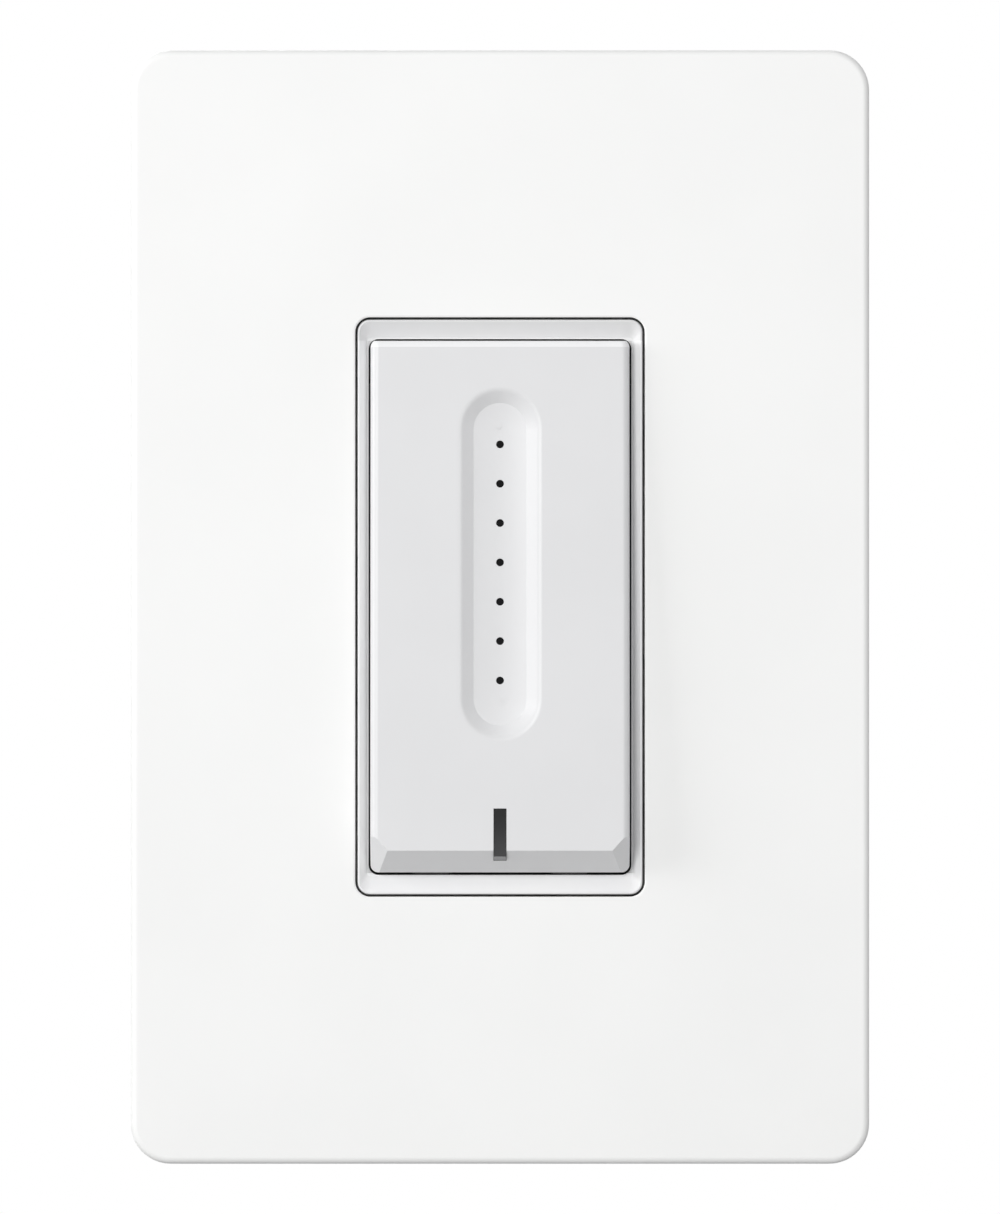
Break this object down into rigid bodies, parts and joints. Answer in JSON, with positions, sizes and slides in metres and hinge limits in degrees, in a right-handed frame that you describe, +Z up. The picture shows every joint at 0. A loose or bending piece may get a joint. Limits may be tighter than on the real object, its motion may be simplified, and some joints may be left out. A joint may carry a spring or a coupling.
{
  "type": "smart dimmer switch",
  "caption": "Smart wall dimmer: a pressable paddle with a touch groove and level lights in a rectangular bezel, under a screwless wall plate, on a strap with a housing for a wall box.",
  "frame": {"origin": "on the wall's surface, midway between the two box screws", "axes": "+X right as seen from the room, +Y into the wall along the box screws, +Z up"},
  "size_m": [0.0854, 0.0432, 0.1288],
  "materials": {
    "plate_plastic": "fine satin moulding",
    "bezel_plastic": "satin moulding",
    "paddle_plastic": "satin to gloss moulding",
    "frame_plastic": "plain moulding",
    "smoked_light_guide": "polished, smoked",
    "smoked_lens": "polished, smoked",
    "strap_metal": "stamped, brushed by the rolls",
    "plated_steel": "zinc-plated",
    "green_screw": "green-dyed plating",
    "vulcanised_fibre": "smooth pressed fibre",
    "spring_steel": "drawn wire",
    "tinned_steel": "bright tin plate",
    "circuit_board": "lacquered laminate",
    "light_chip": "clear cap over phosphor",
    "connector_plastic": "natural nylon",
    "header_plastic": "black moulding with gilt pins",
    "ribbon_film": "amber film",
    "switch_case": "black moulding",
    "plunger_plastic": "black moulding",
    "housing_plastic": "fine spark-eroded texture",
    "terminal_brass": "stamped",
    "transistor_epoxy": "moulded epoxy on a tinned tab",
    "pad_silicone": "soft grey sheet",
    "capacitor_sleeve": "shrunk sleeve",
    "film_case": "moulded box",
    "choke_winding": "enamelled copper",
    "transformer_tape": "yellow tape over the winding",
    "varistor_coat": "dipped blue lacquer",
    "fuse_glass": "glass tube with plated caps"
  },
  "bodies": {
    "device": {"wall_plate": "plate_plastic", "face_frame": "bezel_plastic", "plate_frame": "frame_plastic", "mounting_strap": "strap_metal", "plate_frame_screws": "plated_steel", "box_screws": "plated_steel", "housing_screws": "plated_steel", "transistor_screws": "plated_steel", "terminal_clamps": "plated_steel", "ground_screw": "green_screw", "screw_retainers": "vulcanised_fibre", "return_springs": "spring_steel", "radio_shield": "tinned_steel", "control_board": "circuit_board", "radio_module": "circuit_board", "power_board": "circuit_board", "status_led": "light_chip", "board_connector": "connector_plastic", "link_header": "header_plastic", "touch_flex": "ribbon_film", "tact_switch": "switch_case", "rear_housing": "housing_plastic", "terminal_plates": "terminal_brass", "terminal_screws": "terminal_brass", "dimming_transistors": "transistor_epoxy", "insulating_pad": "pad_silicone", "bulk_capacitor": "capacitor_sleeve", "film_capacitor": "film_case", "filter_choke": "choke_winding", "supply_transformer": "transformer_tape", "varistor": "varistor_coat", "fuse": "fuse_glass"},
    "paddle": {"paddle": "paddle_plastic", "level_light_guide": "smoked_light_guide", "level_leds": "light_chip", "touch_board": "circuit_board", "touch_connector": "connector_plastic", "status_lens": "smoked_lens"},
    "plunger": {"switch_plunger": "plunger_plastic"}
  },
  "joints": [
    {"name": "paddle_press", "type": "hinge", "parent": "device", "child": "paddle", "pos_m": [0, -0.005, 0.027], "axis": [1, 0, 0], "range_deg": [0, 1], "stiffness_Nm_per_rad": 2, "springref_deg": -2.86, "deforming": ["return_springs"]},
    {"name": "plunger_press", "type": "slide", "parent": "device", "child": "plunger", "axis": [0, 1, 0], "range_m": [0, 0.0008]}
  ],
  "couplings": [
    {"joint": "plunger_press", "follows": "paddle_press", "m_per_rad": 0.0435}
  ]
}
